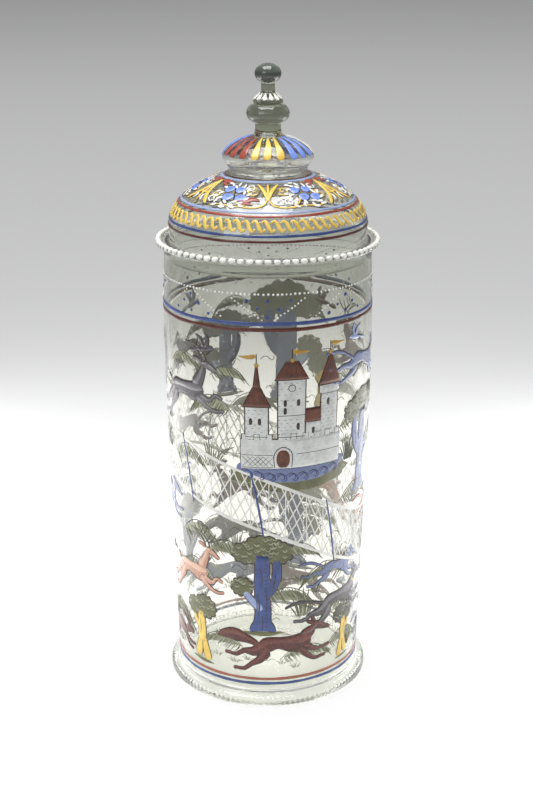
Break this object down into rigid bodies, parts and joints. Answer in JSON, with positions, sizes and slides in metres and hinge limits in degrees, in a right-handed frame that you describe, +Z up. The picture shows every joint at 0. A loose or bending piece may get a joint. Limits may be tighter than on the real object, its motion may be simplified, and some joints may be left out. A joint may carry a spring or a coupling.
{
  "type": "covered glass humpen",
  "caption": "Tall blown-glass beaker on a milled foot ring, with a loose domed lid, beaded flange, knopped finial and fired enamel bands, dots and petals; holds a drink.",
  "frame": {"origin": "centre of the foot ring's underside, on the table", "axes": "+Z up along the axis of the beaker, -Y towards the front of the painted picture, +X to its right"},
  "size_m": [0.1542, 0.1542, 0.437],
  "materials": {
    "clear_glass": "fire-polished blown glass with a grey-green tint and fine cords",
    "thick_glass": "fire-polished thick glass, olive grey where it is deep",
    "white_enamel": "glossy fired enamel, opaque white",
    "blue_enamel": "glossy fired enamel, cobalt blue",
    "pale_blue_enamel": "glossy fired enamel, pale blue",
    "brown_enamel": "glossy fired enamel, dark brown",
    "red_enamel": "glossy fired enamel, brick red",
    "yellow_enamel": "glossy fired enamel, warm yellow"
  },
  "bodies": {
    "beaker": {"beaker_body": "clear_glass", "foot_ring": "thick_glass", "lower_blue_band": "blue_enamel", "lower_brown_band": "brown_enamel", "upper_brown_band": "brown_enamel", "upper_blue_band": "blue_enamel", "rim_dots": "white_enamel"},
    "lid": {"lid_dome": "clear_glass", "flange_trail": "clear_glass", "flange_pearls": "white_enamel", "lid_lower_brown_band": "brown_enamel", "lid_lower_blue_band": "blue_enamel", "lid_links": "yellow_enamel", "lid_upper_brown_band": "red_enamel", "lid_upper_blue_band": "pale_blue_enamel", "crown_brown_line": "brown_enamel", "crown_blue_band": "pale_blue_enamel", "finial_bulb": "thick_glass", "bulb_petals_yellow": "yellow_enamel", "bulb_petals_blue": "blue_enamel", "bulb_petals_white": "white_enamel", "bulb_petals_red": "red_enamel", "finial_knop": "thick_glass", "finial_skirt": "thick_glass", "skirt_petals": "white_enamel", "finial_ball": "thick_glass"}
  },
  "joints": [
    {"name": "lid_lift", "type": "slide", "parent": "beaker", "child": "lid", "axis": [0, 0, 1], "range_m": [0, 0.2]}
  ]
}
